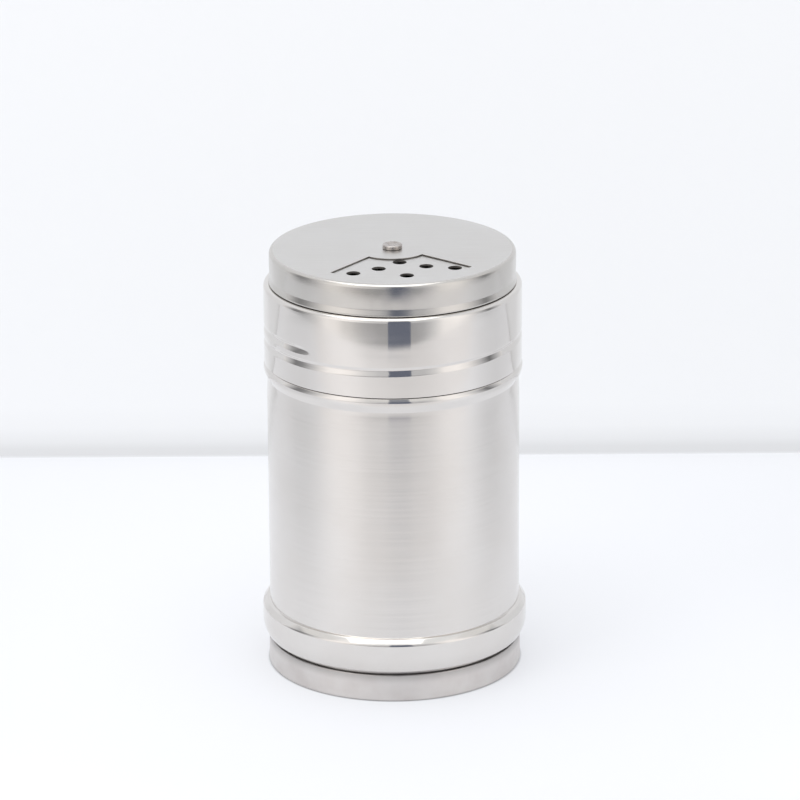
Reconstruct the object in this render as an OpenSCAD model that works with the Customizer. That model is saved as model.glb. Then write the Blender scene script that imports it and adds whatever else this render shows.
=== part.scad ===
// Stainless steel seasoning shaker: a brushed can with a pressed-in base cup,
// a screw lid whose top is a sieve plate, and a rotary cap that turns on a
// rivet and brings its window over one of four places on that plate.
// Millimetres. The front is -Y, up is +Z, and the base stands on z = 0.

/* [Can] */
// Outside diameter of the brushed body
body_d = 58; // [52:0.5:76]
// Height of the straight body wall, from the base ring to the foot of the bead
body_h = 54; // [30:0.5:90]
// Thickness of the can's sheet
can_t = 0.5; // [0.4:0.05:0.7]
// Height of the polished base ring
ring_h = 8.5; // [7:0.25:12]
// How far the base ring stands out past the body
ring_proud = 1.64; // [1.2:0.02:2.2]
// How far the ring's lower lip turns back in
ring_lip = 0.55; // [0.3:0.05:0.8]
// Height of the bead under the lid, with the slope that leads to it
bead_h = 3.5; // [3:0.1:5]
// How far the bead stands out past the body
bead_proud = 0.72; // [0.4:0.02:1]
// Radial width of the rolled rim at the mouth
rim_w = 1.45; // [1.3:0.05:2]
// Height of the rolled rim's turned-down lip
rim_lip = 1.3; // [1.1:0.1:2.5]

/* [Base cup] */
// Height of the visible foot
foot_h = 6.3; // [4:0.1:10]
// How far the foot stands out past the body
foot_proud = 0.45; // [0.2:0.05:0.8]
// Dark gap between the foot and the base ring
foot_gap = 0.8; // [0.4:0.05:1.5]
// Thickness of the base cup's sheet
cup_t = 0.5; // [0.4:0.05:0.7]
// Height of the neck that is pressed up into the can
plug_h = 12.5; // [10:0.5:20]
// Width of the flat ring that the can stands on
stand_w = 5; // [3:0.25:9]
// How far the middle of the base is raised off the table
base_rise = 0.8; // [0.4:0.1:1.5]

/* [Screw lid] */
// How far the lid's collar stands out past the body
collar_proud = 0.57; // [0.4:0.01:1]
// Height of the collar, from its lower edge to its shoulder
collar_h = 18.6; // [15:0.25:26]
// Gap between the bead and the collar's lower edge
collar_gap = 0.2; // [0.1:0.05:0.6]
// Rounding of the collar's shoulder
shoulder_r = 1; // [0.7:0.05:1.2]
// Thickness of the lid's sheet
lid_t = 0.5; // [0.4:0.05:0.7]
// Thickness of the seal between the mouth and the lid
seal_t = 0.7; // [0.4:0.05:1.2]

/* [Thread] */
// Rise of the rolled thread in one turn
thread_pitch = 3; // [2.5:0.1:4]
// Depth of the rolled thread
thread_depth = 0.4; // [0.3:0.02:0.5]
// Width of the rolled thread
thread_w = 2; // [1.4:0.1:2.2]
// Radial clearance between the lid's thread and the can's
thread_gap = 0.2; // [0.15:0.01:0.25]
// Turns of thread in the lid
lid_turns = 1.2; // [1:0.05:1.6]
// Turns of thread on the can's mouth
neck_turns = 2; // [1.5:0.05:2.2]
// Height of the lid thread's lower end above the collar's lower edge
thread_up = 5.1; // [4:0.1:6]
// Direction of the lid thread's lower end, in degrees from the front
thread_from = -109; // [-180:1:180]

/* [Rotary cap] */
// Height of the cap's skirt
cap_h = 7.4; // [5:0.1:12]
// How far the cap lies inside the collar
cap_inset = 1.37; // [1.1:0.01:2]
// Gap between the collar's shoulder and the cap's skirt
cap_gap = 0.2; // [0.1:0.05:0.6]
// Rounding of the cap's upper edge
cap_edge_r = 1; // [0.7:0.05:1.6]
// Thickness of the cap's sheet
cap_t = 0.3; // [0.25:0.05:0.5]
// Clearance between the cap's skirt and the lid's dome inside it
cap_clear = 0.5; // [0.4:0.05:0.8]
// Direction that the cap's window points in, in degrees from the front
cap_heading = 6.9; // [-180:0.1:180]
// Angle that the window spans
window_a = 85; // [70:1:88]
// How far each side of the window lies outside a line through the centre
window_offset = 0.65; // [0:0.05:1]
// Radius of the window's inner edge
window_in_r = 8.3; // [7.5:0.1:10]
// Width of the cap's top left outside the window
window_rim = 5.1; // [4:0.1:7]

/* [Sieve plate] */
// Direction of the large holes, in degrees from the front
sieve_heading = 9.2; // [-180:0.1:180]
// Diameter of a large hole
hole_d = 3.2; // [2:0.1:3.6]
// Diameter of a small hole
fine_hole_d = 1.6; // [1:0.1:1.8]
// Distance from the window's inner edge to the first row of holes
hole_in = 1.8; // [1.8:0.1:2.4]
// Distance from the window's outer edge to the last row of holes
hole_out = 2.9; // [2:0.1:3.4]
// Rows of small holes
fine_rows = 4; // [3:1:4]
// Small holes in the first row, with one more in each row after it
fine_first = 3; // [2:1:3]
// Angle that the pouring slot spans
pour_a = 56; // [30:1:64]

/* [Rivet] */
// Diameter of the rivet's head
head_d = 4.5; // [4:0.1:6]
// Height of the rivet's head
head_h = 0.9; // [0.7:0.05:1.4]
// Diameter of the rivet's shank
shank_d = 2.6; // [2:0.1:3]
// Radial clearance around the shank
shank_gap = 0.08; // [0.03:0.01:0.1]
// Up and down play of the cap on its rivet
cap_play = 0.1; // [0.05:0.01:0.2]
// Diameter of the flat washer
washer_d = 6.4; // [5.6:0.1:7]
// Thickness of the flat washer
washer_t = 0.5; // [0.3:0.05:0.8]
// Diameter of the spring washer
spring_d = 7.2; // [6.4:0.1:8]
// Thickness of the spring washer
spring_t = 0.3; // [0.2:0.02:0.4]
// Height that the spring washer's cone adds
spring_rise = 0.35; // [0.2:0.05:0.5]
// Diameter of the rivet's closed end
tail_d = 4; // [3.6:0.1:5]
// Height of the rivet's closed end
tail_h = 0.8; // [0.6:0.05:1.2]

/* [Hidden] */

round_fn = 96;        // a round surface's $fn
arc_step = 15;        // largest angle between two points of a rounded corner
thread_steps = 60;    // rings of a thread in one turn
thread_fade = 24;     // angle over which a thread's end dies out
thread_sides = 6;     // straight pieces across a thread
bite = 0.1;           // how far a thread's edge lies inside the wall that carries it
seat_gap = 0.05;      // fit line between two pieces that are pressed together
over = 1;             // how far a cutting shape reaches past what it cuts
cup_edge_r = 0.7;     // rounding of the base cup's edges
crease_r = 0.1;       // rounding of the crease above the base ring
neck_edge_r = 0.15;   // rounding at the foot of the mouth
bead_edge_r = 1.1;    // rounding of the bead's upper edge
soft_r = 3.5;         // rounding of the bead's slope
ring_shoulder_r = 1.9;  // rounding of the base ring's shoulder
ring_fall = 0.3;      // how far the ring's shoulder falls from its crease
quarter = 90;         // turn from one place on the sieve plate to the next

// Radii, outwards from the body
body_r = body_d / 2;
bore_r = body_r - can_t;
ring_r = body_r + ring_proud;
bead_r = body_r + bead_proud;
foot_r = body_r + foot_proud;
plug_r = bore_r - seat_gap;
collar_r = body_r + collar_proud;
collar_in_r = collar_r - lid_t;
neck_r = collar_in_r - thread_depth - thread_gap;
rim_in_r = neck_r - rim_w;
cap_r = collar_r - cap_inset;
dome_r = cap_r - cap_t - cap_clear;
window_out_r = cap_r - window_rim;
shank_r = shank_d / 2;
pivot_r = shank_r + shank_gap;

// Heights, upwards from the table
ring_z = foot_h + foot_gap;
body_z = ring_z + ring_h;
bead_z = body_z + body_h;
bead_top_z = bead_z + bead_h;
collar_z = bead_top_z + collar_gap;
shoulder_z = collar_z + collar_h;
cap_z = shoulder_z + cap_gap;
top_z = cap_z + cap_h;
plate_z = top_z - cap_t - cap_play;
seal_top_z = shoulder_z - lid_t - cap_play;
rim_z = seal_top_z - seal_t - cap_play;
thread_z = collar_z + thread_up;
spring_top_z = plate_z - lid_t - seat_gap;
washer_top_z = spring_top_z - spring_t - spring_rise - seat_gap;
tail_top_z = washer_top_z - washer_t - seat_gap;
head_z = top_z + cap_play;

// Rows of holes, between the window's edges
hole_in_r = window_in_r + hole_in;
hole_out_r = window_out_r - hole_out;
// Half the angle that each row of large holes spreads over
hole_spreads = [0, 21, 35];
// The same for the first and the last row of small holes
fine_spreads = [28, 35];

function unit(v) = v / norm(v);
function flat(c) = [c[0], c[1]];
function mix(a, b, share) = a + (b - a) * share;
function turned(list) = [for (i = [len(list) - 1:-1:0]) list[i]];
function cross2(u, v) = u[0] * v[1] - u[1] * v[0];

// The points of a rounded corner at b, between a and c.
function corner_arc(a, b, c, r) =
    let (u = unit(a - b), v = unit(c - b), half = half_angle(a, b, c))
    let (centre = b + unit(u + v) * r / sin(half))
    let (from = b + u * r / tan(half) - centre, to = b + v * r / tan(half) - centre)
    let (turn = 180 - 2 * half, side = sign(cross2(from, to)))
    let (n = ceil(turn / arc_step), start = atan2(from[1], from[0]))
    [for (k = [0:n]) centre + r * [cos(start + side * turn * k / n), sin(start + side * turn * k / n)]];
function half_angle(a, b, c) = acos(unit(a - b) * unit(c - b)) / 2;

// How much of its two sides a corner's rounding takes up, and the share of
// that rounding that the sides have room for beside their other corners.
function taken(c, i) = c[i][2] == 0 ? 0 :
    c[i][2] / tan(half_angle(flat(c[i - 1]), flat(c[i]), flat(c[i + 1])));
function room(c, i) = min([1, for (k = [i - 1, i])
    norm(flat(c[k + 1]) - flat(c[k])) / (taken(c, k) + taken(c, k + 1))]);

// A smooth path through corners, each given as [radius, height, rounding].
function path(c) = [for (i = [0:len(c) - 1]) each c[i][2] == 0 ? [flat(c[i])] :
    corner_arc(flat(c[i - 1]), flat(c[i]), flat(c[i + 1]), c[i][2] * room(c, i))];

// The corners of a sheet's other face, t to the right of the way they run.
// A right turn is rounded by t less there, and a left turn by t more.
function beside(c, t) = [for (i = [0:len(c) - 1])
    let (ahead = unit(flat(c[min(i + 1, len(c) - 1)]) - flat(c[min(i, len(c) - 2)])))
    let (behind = i == 0 ? ahead : unit(flat(c[i]) - flat(c[i - 1])))
    let (side = unit([ahead[1] + behind[1], -ahead[0] - behind[0]]))
    let (p = flat(c[i]) + side * t / (side * [ahead[1], -ahead[0]]))
    [p[0], p[1], c[i][2] == 0 ? 0 : max(0, c[i][2] + t * sign(cross2(behind, ahead)))]];

// A pressed and spun sheet: its outer face follows the corners.
module pressed(corners, t)
    rotate_extrude($fn = round_fn) polygon(concat(path(corners), turned(path(beside(corners, t)))));

// How deep a thread is at a share across its width and at an angle along it.
function thread_shape(share) = (1 - cos(360 * share)) / 2;
function thread_strength(along, total) =
    let (s = min(1, along / thread_fade, (total - along) / thread_fade))
    s * s * (3 - 2 * s);

// A rolled thread on a wall of radius r: it stands up from the wall by depth,
// inwards if depth is negative, and its root lies inside the wall.
module thread(r, depth, turns) {
    total = turns * 360;
    steps = ceil(turns * thread_steps);
    way = sign(depth);
    rings = [for (i = [0:steps])
        let (along = total * i / steps, strength = thread_strength(along, total))
        let (a = thread_from - quarter + along, z = thread_z + thread_pitch * along / 360)
        concat(
            [for (k = [0:thread_sides])
                let (share = k / thread_sides)
                let (reach = -bite + (abs(depth) + bite) * strength * thread_shape(share))
                let (pr = r + way * reach)
                [pr * cos(a), pr * sin(a), z + thread_w * (share - 0.5)]],
            [for (share = [1, 0])
                let (pr = r - way * 2 * bite)
                [pr * cos(a), pr * sin(a), z + thread_w * (share - 0.5)]])];
    sides = thread_sides + 3;
    points = [for (ring = rings) each ring];
    walls = [for (i = [0:steps - 1], k = [0:sides - 1])
        let (a = i * sides + k, b = i * sides + (k + 1) % sides)
        each (way > 0 ? [[a, b, b + sides], [a, b + sides, a + sides]]
                      : [[a, b + sides, b], [a, a + sides, b + sides]])];
    first = [for (k = [0:sides - 1]) k];
    last = [for (k = first) steps * sides + k];
    caps = way > 0 ? [turned(first), last] : [first, turned(last)];
    polyhedron(points, concat(walls, caps));
}

// A flat fan around the front direction, between two radii.
module fan(r_in, r_out, angle, offset) {
    half = angle / 2;
    back = offset / sin(half);
    reach = 2 * r_out;
    intersection() {
        difference() {
            circle(r = r_out, $fn = round_fn);
            circle(r = r_in, $fn = round_fn);
        }
        polygon([[0, back], [-reach * sin(half), back - reach * cos(half)],
                 [0, -reach], [reach * sin(half), back - reach * cos(half)]]);
    }
}

// A round hole's outline at a radius and an angle from the front.
module hole_at(r, angle, d) rotate(angle) translate([0, -r]) circle(d = d, $fn = round_fn / 2);

// Six large holes in rows of one, two and three.
module large_holes() {
    rows = len(hole_spreads);
    for (row = [0:rows - 1], k = [0:row]) {
        spread = hole_spreads[row];
        angle = row == 0 ? 0 : mix(-spread, spread, k / row);
        hole_at(mix(hole_in_r, hole_out_r, row / (rows - 1)), angle, hole_d);
    }
}

// Rows of small holes, one more in each row.
module small_holes()
    for (row = [0:fine_rows - 1], k = [0:fine_first + row - 1]) {
        share = row / (fine_rows - 1);
        spread = mix(fine_spreads[0], fine_spreads[1], share);
        angle = mix(-spread, spread, k / (fine_first + row - 1));
        hole_at(mix(hole_in_r, hole_out_r, share), angle, fine_hole_d);
    }

// The plate's three open places; the fourth is closed.
module sieve() {
    rotate(sieve_heading) {
        large_holes();
        rotate(quarter) small_holes();
        rotate(2 * quarter)
            fan(hole_in_r - hole_d / 2, hole_out_r + hole_d / 2, pour_a, window_offset);
    }
}

module base_cup() color("#c2bbb4") {
    stand_r = foot_r - cup_edge_r - stand_w;
    pressed([[plug_r, foot_h + plug_h, 0], [plug_r, foot_h, cup_edge_r],
             [foot_r, foot_h, cup_edge_r], [foot_r, 0, cup_edge_r],
             [stand_r, 0, cup_edge_r], [stand_r - base_rise, base_rise, cup_edge_r],
             [0, base_rise, 0]], cup_t);
}

module can_shell() color("#cfcdcd") difference() {
    union() {
        can_sheet();
        thread_on_neck(neck_r, thread_depth);
    }
    thread_on_neck(neck_r - can_t - 2 * bite, thread_depth + 2 * bite);
}

// The can's sheet, from the rolled rim down to the lip of the base ring.
module can_sheet()
    pressed([[rim_in_r, rim_z - rim_lip, 0], [rim_in_r, rim_z, rim_w / 2],
             [neck_r, rim_z, rim_w / 2], [neck_r, bead_top_z, neck_edge_r],
             [bead_r, bead_top_z, bead_edge_r], [bead_r, bead_z + bead_h / 2, soft_r],
             [body_r, bead_z, soft_r], [body_r, body_z, crease_r],
             [ring_r, body_z - ring_fall, ring_shoulder_r], [ring_r, ring_z + ring_lip, can_t],
             [ring_r - ring_lip, ring_z, 0]], can_t);

// The can's thread runs half a turn's rise above the lid's.
module thread_on_neck(r, depth)
    translate([0, 0, thread_pitch / 2]) thread(r, depth, neck_turns);

module lid_seal() color("#e8e8e4")
    translate([0, 0, seal_top_z - seal_t]) difference() {
        cylinder(r = neck_r, h = seal_t, $fn = round_fn);
        translate([0, 0, -over]) cylinder(r = rim_in_r, h = seal_t + 2 * over, $fn = round_fn);
    }

module screw_lid() color("#d8d8da") difference() {
    union() {
        pressed([[pivot_r, plate_z, 0], [dome_r, plate_z, shoulder_r],
                 [dome_r, shoulder_z, lid_t], [collar_r, shoulder_z, shoulder_r],
                 [collar_r, collar_z, 0]], lid_t);
        thread(collar_in_r, -thread_depth, lid_turns);
    }
    thread(collar_r + 2 * bite, -thread_depth - 2 * bite, lid_turns);
    translate([0, 0, plate_z - lid_t - over]) linear_extrude(lid_t + 2 * over) sieve();
}

module rotary_cap() color("#c6c6c8") difference() {
    pressed([[pivot_r, top_z, 0], [cap_r, top_z, cap_edge_r], [cap_r, cap_z, 0]], cap_t);
    translate([0, 0, top_z - cap_t - over]) linear_extrude(cap_t + 2 * over) rotate(cap_heading)
        fan(window_in_r, window_out_r, window_a, window_offset);
}

module rivet() color("#b4b4b6") {
    head_r = head_d / 2;
    tail_r = tail_d / 2;
    head_top_z = head_z + head_h;
    tail_z = tail_top_z - tail_h;
    dimple = head_h / 4;
    rotate_extrude($fn = round_fn)
        polygon(path([[0, head_top_z - dimple, 0], [head_r / 3, head_top_z - dimple, dimple],
                      [2 * head_r / 3, head_top_z, dimple], [head_r, head_top_z, head_h / 3],
                      [head_r, head_z, 0], [shank_r, head_z, 0], [shank_r, tail_top_z, 0],
                      [tail_r, tail_top_z, 0], [tail_r, tail_z, tail_h / 2], [0, tail_z, 0]]));
}

// A shallow cone that bears on the plate with its rim and on the flat washer
// with its bore.
module spring_washer() color("#9a9a9c")
    rotate_extrude($fn = round_fn) polygon([
        [pivot_r, spring_top_z - spring_rise], [spring_d / 2, spring_top_z],
        [spring_d / 2, spring_top_z - spring_t], [pivot_r, spring_top_z - spring_rise - spring_t]]);

module flat_washer() color("#a8a8aa")
    translate([0, 0, washer_top_z - washer_t]) difference() {
        cylinder(d = washer_d, h = washer_t, $fn = round_fn);
        translate([0, 0, -over]) cylinder(r = pivot_r, h = washer_t + 2 * over, $fn = round_fn);
    }

base_cup();
can_shell();
lid_seal();
screw_lid();
rotary_cap();
rivet();
spring_washer();
flat_washer();
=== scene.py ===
# %% [markdown]
# # A spice shaker of brushed and polished steel
# The shaker is five pressed or turned pieces that show, and three that don't: a base cup, a brushed can,
# a polished screw lid, a rotary cap and the rivet that it turns on, with a seal and two washers inside.
# The CAD model already says where each piece is and how it moves. This file gives each one a finer mesh
# and its finish, and then lights it. It starts by loading the CAD model as a frame that is never moved.

# %% Load the frame
import math

import bpy
from mathutils import Matrix, Vector


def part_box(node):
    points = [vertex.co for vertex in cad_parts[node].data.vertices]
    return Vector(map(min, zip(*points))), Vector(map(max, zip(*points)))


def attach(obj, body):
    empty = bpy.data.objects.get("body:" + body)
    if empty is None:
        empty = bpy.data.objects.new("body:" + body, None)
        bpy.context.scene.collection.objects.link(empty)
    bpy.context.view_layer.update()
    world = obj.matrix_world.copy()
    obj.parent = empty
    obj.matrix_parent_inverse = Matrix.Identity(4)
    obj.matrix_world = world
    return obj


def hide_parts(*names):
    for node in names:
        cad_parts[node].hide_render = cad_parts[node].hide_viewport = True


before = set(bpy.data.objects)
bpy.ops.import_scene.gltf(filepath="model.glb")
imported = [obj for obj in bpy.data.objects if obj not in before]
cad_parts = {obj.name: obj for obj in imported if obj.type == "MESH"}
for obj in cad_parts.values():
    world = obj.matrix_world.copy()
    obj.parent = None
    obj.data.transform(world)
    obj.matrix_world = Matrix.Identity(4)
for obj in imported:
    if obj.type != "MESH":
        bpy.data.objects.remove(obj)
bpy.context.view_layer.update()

print("nodes:", sorted(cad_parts))

# %% [markdown]
# ## Sizes
# Blender works in metres, but sheet metal is easier to think about in millimetres, so the sizes below are
# millimetres and are scaled once, when a mesh is made. Each round piece's outer radius and its two levels
# are read from its CAD node, and the smaller steps between them are named here.

# %% Radii and levels of the round pieces
MM = 0.001


def round_node(node):
    """Outer radius, lowest level and highest level of a round CAD node, in millimetres."""
    low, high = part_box(node)
    print(f"{node}: radius {high.x / MM:.2f}, from {low.z / MM:.2f} to {high.z / MM:.2f} mm")
    return high.x / MM, low.z / MM, high.z / MM


CUP_R, TABLE, PLUG_TOP = round_node("base_cup")
RING_R, RING_LOW, MOUTH_TOP = round_node("can_shell")
MOUTH_R, SEAL_LOW, SEAL_TOP = round_node("lid_seal")
COLLAR_R, COLLAR_LOW, PLATE_TOP = round_node("screw_lid")
CAP_R, CAP_LOW, CAP_TOP = round_node("rotary_cap")
HEAD_R, TAIL_LOW, HEAD_TOP = round_node("rivet")

# %% Steps between them
SHEET = 0.5            # thickness of the can, the lid and the base cup
CAP_SHEET = 0.2        # what the cap shows of its thickness; its CAD solid has 0.3
PLAY = 0.1             # clearance between pieces that slide or turn
RING_PROUD = 1.64      # how far the base ring stands out past the body
RING_HEIGHT = 8.5
BEAD_PROUD = 0.72      # how far the bead under the lid stands out
BEAD_HEIGHT = 3.5
COLLAR_GAP = 0.2       # between the bead and the lid's lower edge
RIM_WIDTH = 1.45       # the rolled rim at the mouth
FOOT_HEIGHT = 6.4      # the part of the base cup that shows
BODY_R = RING_R - RING_PROUD
BODY_LOW = RING_LOW + RING_HEIGHT
BEAD_TOP = COLLAR_LOW - COLLAR_GAP
BEAD_LOW = BEAD_TOP - BEAD_HEIGHT
SHOULDER = SEAL_TOP + SHEET + PLAY
RIM_IN_R = MOUTH_R - RIM_WIDTH
PIVOT_R = 1.38         # the hole that the rivet's shank turns in
print(f"body radius {BODY_R:.2f} mm, straight from {BODY_LOW:.1f} to {BEAD_LOW:.1f} mm")

# %% [markdown]
# ## A profile of bent sheet
# A spun piece is one line turned round an axis. The line is given as corners, each a radius, a height and
# a rounding, the way a tool maker dimensions a drawing. The other face of the sheet lies beside it at one
# thickness, with each bend's rounding larger or smaller by that thickness. A curve drawn by hand would
# need its two faces kept parallel by eye; here the rule does it.

# %% Corners to a smooth line
BEND_STEP = math.radians(7.5)


def half_angle(before, corner, after):
    """Half the angle between a corner's two sides."""
    u, v = (before - corner).normalized(), (after - corner).normalized()
    return math.acos(max(-1.0, min(1.0, u.dot(v)))) / 2


def bend(before, corner, after, radius):
    """Points of the arc that rounds a corner."""
    u, v = (before - corner).normalized(), (after - corner).normalized()
    half = half_angle(before, corner, after)
    centre = corner + (u + v).normalized() * radius / math.sin(half)
    start = corner + u * radius / math.tan(half) - centre
    end = corner + v * radius / math.tan(half) - centre
    turn = math.pi - 2 * half
    side = 1 if start.x * end.y - start.y * end.x > 0 else -1
    steps = max(2, math.ceil(turn / BEND_STEP))
    angle = math.atan2(start.y, start.x)
    return [centre + radius * Vector((math.cos(angle + side * turn * k / steps),
                                      math.sin(angle + side * turn * k / steps)))
            for k in range(steps + 1)]


def line_through(corners):
    """A smooth line through corners, each (radius, height, rounding). Where the roundings at the two
    ends of a side need more than its length, both shrink by the same share."""
    at = [Vector(c[:2]) for c in corners]
    ahead = at[1:] + at[:1]
    taken = [c[2] / math.tan(half_angle(at[i - 1], at[i], ahead[i])) if c[2] > 0 else 0
             for i, c in enumerate(corners)]
    points = []
    for i, corner in enumerate(corners):
        if corner[2] == 0:
            points.append(at[i])
            continue
        behind_room = (at[i] - at[i - 1]).length / (taken[i] + taken[i - 1])
        ahead_room = (at[i] - ahead[i]).length / (taken[i] + taken[(i + 1) % len(at)])
        points += bend(at[i - 1], at[i], ahead[i], corner[2] * min(1.0, behind_room, ahead_room))
    return points


# %% The sheet's other face
def other_face(corners, sheet):
    """The corners of the face that lies one sheet thickness to the right of the way they run."""
    at = [Vector(c[:2]) for c in corners]
    last = len(at) - 1
    found = []
    for i, corner in enumerate(corners):
        ahead = (at[min(i + 1, last)] - at[min(i, last - 1)]).normalized()
        behind = ahead if i == 0 else (at[i] - at[i - 1]).normalized()
        across = Vector((ahead.y + behind.y, -ahead.x - behind.x)).normalized()
        p = at[i] + across * sheet / across.dot(Vector((ahead.y, -ahead.x)))
        left_turn = behind.x * ahead.y - behind.y * ahead.x > 0
        rounding = max(0.0, corner[2] + (sheet if left_turn else -sheet)) if corner[2] > 0 else 0
        found.append((p.x, p.y, rounding))
    return found


def sheet_section(corners, sheet, edge=0.0):
    """The closed section of a bent sheet: down its outer face, round its trimmed lower edge and back
    along its inner face. edge is how far the lower edge is eased."""
    outer, inner = line_through(corners), line_through(other_face(corners, sheet))
    if edge == 0:
        return outer + inner[::-1]
    eased = bend(outer[-2], outer[-1], inner[-1], edge) + bend(outer[-1], inner[-1], inner[-2], edge)
    return outer[:-1] + eased + inner[-2::-1]


NEAR = 1e-6            # a row this share of a side away from its end is that end


def with_rows(section, low, high, spacing):
    """The same section with extra points between two levels, so that a thread has rows to bend."""
    rows = []
    for p, q in zip(section, section[1:] + section[:1]):
        rows.append(p)
        bottom, top = sorted((p.y, q.y))
        if low <= bottom < top <= high or (bottom < low and top > high):
            bottom, top = max(bottom, low), min(top, high)
            extra = math.ceil((top - bottom) / spacing)
            levels = [bottom + (top - bottom) * k / extra for k in range(extra + 1)]
            shares = sorted((z - p.y) / (q.y - p.y) for z in levels)
            rows += [p.lerp(q, s) for s in shares if NEAR < s < 1 - NEAR]
    return rows


# %% [markdown]
# ## Writing node trees
# Geometry Nodes and materials are both node trees. Placing nodes by hand suits one of a kind, but a tree
# written in code can be read as a formula. `wire` adds one node, feeds its sockets with values or with
# other nodes' outputs, and gives back an output to feed onwards. `calc` is the same for arithmetic, and
# the short functions after it are the nodes that come back most often.

# %% Helpers for node trees
def wire(tree, kind, feeds=None, out=0, **settings):
    """Adds a node, sets it, feeds its inputs by name or number, and returns one of its outputs."""
    node = tree.nodes.new(kind)
    for key, value in settings.items():
        setattr(node, key, value)
    for key, value in (feeds or {}).items():
        if isinstance(value, bpy.types.NodeSocket):
            tree.links.new(value, node.inputs[key])
        else:
            node.inputs[key].default_value = value
    return node.outputs[out]


def calc(tree, operation, *terms):
    """One arithmetic step on numbers or sockets."""
    return wire(tree, "ShaderNodeMath", dict(enumerate(terms)), operation=operation)


def parts_of(tree, vector):
    """X, Y and Z of a vector."""
    split = tree.nodes.new("ShaderNodeSeparateXYZ")
    tree.links.new(vector, split.inputs[0])
    return split.outputs


def between(tree, share, first, second):
    """The number that lies a share of the way from one to another."""
    return wire(tree, "ShaderNodeMix", {0: share, 2: first, 3: second})


SOCKETS = {int: "NodeSocketInt", float: "NodeSocketFloat", bpy.types.Material: "NodeSocketMaterial"}


def geometry_tree(name, **inputs):
    """A new Geometry Nodes tree, its incoming geometry and its named inputs."""
    tree = bpy.data.node_groups.new(name, "GeometryNodeTree")
    tree.interface.new_socket("Geometry", in_out="INPUT", socket_type="NodeSocketGeometry")
    tree.interface.new_socket("Geometry", in_out="OUTPUT", socket_type="NodeSocketGeometry")
    for label, value in inputs.items():
        kind = value if isinstance(value, type) else type(value)
        socket = tree.interface.new_socket(label, in_out="INPUT", socket_type=SOCKETS[kind])
        if not isinstance(value, type):
            socket.default_value = value
    source = tree.nodes.new("NodeGroupInput")
    return tree, source.outputs[0], {label: source.outputs[label] for label in inputs}


def end_tree(tree, geometry, material, faces=True):
    """Every tree ends the same way: real geometry that carries a material, on all its faces or on some."""
    real = wire(tree, "GeometryNodeRealizeInstances", {0: geometry})
    dressed = wire(tree, "GeometryNodeSetMaterial",
                   {"Geometry": real, "Selection": faces, "Material": material})
    tree.links.new(dressed, tree.nodes.new("NodeGroupOutput").inputs[0])
    return tree


# %% [markdown]
# ## Spinning a section
# A lathe spins a piece round an axis, and so does this tree. It lays out a plain grid with one row for
# each point of the section and one column for each step round the axis, and then moves every grid point
# to its place. The Screw modifier could do the same, but the tree also drops the strip that has no area
# where a section touches the axis, and closes the seam and the poles.

# %% Geometry Nodes: spin a section
STEPS_ROUND = 288
WELD = 1e-6            # points nearer to each other than this, in metres, become one
NO_AREA = 1e-16        # a face smaller than this, in square metres, is dropped


def spin_tree():
    """The tree that turns a section round Z into a closed piece."""
    tree, section, given = geometry_tree("Spin a section", Steps=STEPS_ROUND, Weld=WELD,
                                         Material=bpy.types.Material)
    rows = wire(tree, "GeometryNodeAttributeDomainSize", {0: section})
    columns = calc(tree, "ADD", given["Steps"], 1.0)
    grid = wire(tree, "GeometryNodeMeshGrid", {"Vertices X": calc(tree, "ADD", rows, 1.0),
                                               "Vertices Y": columns})
    index = wire(tree, "GeometryNodeInputIndex")
    row = calc(tree, "FLOOR", calc(tree, "DIVIDE", calc(tree, "ADD", index, 0.5), columns))
    column = calc(tree, "SUBTRACT", index, calc(tree, "MULTIPLY", row, columns))
    wrapped = calc(tree, "FLOORED_MODULO", row, rows)
    place = wire(tree, "GeometryNodeSampleIndex",
                 {"Geometry": section, "Value": wire(tree, "GeometryNodeInputPosition"),
                  "Index": wrapped}, data_type="FLOAT_VECTOR")
    angle = calc(tree, "MULTIPLY", calc(tree, "DIVIDE", column, given["Steps"]), math.tau)
    turned = wire(tree, "ShaderNodeVectorRotate", {"Vector": place, "Angle": angle},
                  rotation_type="Z_AXIS")
    spun = wire(tree, "GeometryNodeSetPosition", {"Geometry": grid, "Position": turned})
    empty = wire(tree, "FunctionNodeCompare",
                 {0: wire(tree, "GeometryNodeInputMeshFaceArea"), 1: NO_AREA},
                 data_type="FLOAT", operation="LESS_THAN")
    kept = wire(tree, "GeometryNodeDeleteGeometry", {"Geometry": spun, "Selection": empty},
                domain="FACE", mode="ALL")
    closed = wire(tree, "GeometryNodeMergeByDistance", {"Geometry": kept, "Distance": given["Weld"]})
    return end_tree(tree, closed, given["Material"])


SPIN = spin_tree()
print("tree:", SPIN.name, "with inputs", [i.name for i in SPIN.interface.items_tree])

# %% [markdown]
# ## Rolling a thread into the sheet
# The lid and the mouth have a thread that is rolled, not cut: a roller pushes the thin sheet sideways
# along a helix, so a groove on one face is a ridge on the other. The tree does what the roller does. It
# works out how far along the helix each point lies, and pushes it by a smooth hump that dies out at both
# ends. The hump's two flanks have widths of their own, because the flank that carries the load is steeper.
# A swept ring joined on with a boolean would leave a hard edge on a mirror finish.

# %% Geometry Nodes: roll a thread
THREAD_PASSES = 3      # how often the helix may pass one side of the sheet


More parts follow.
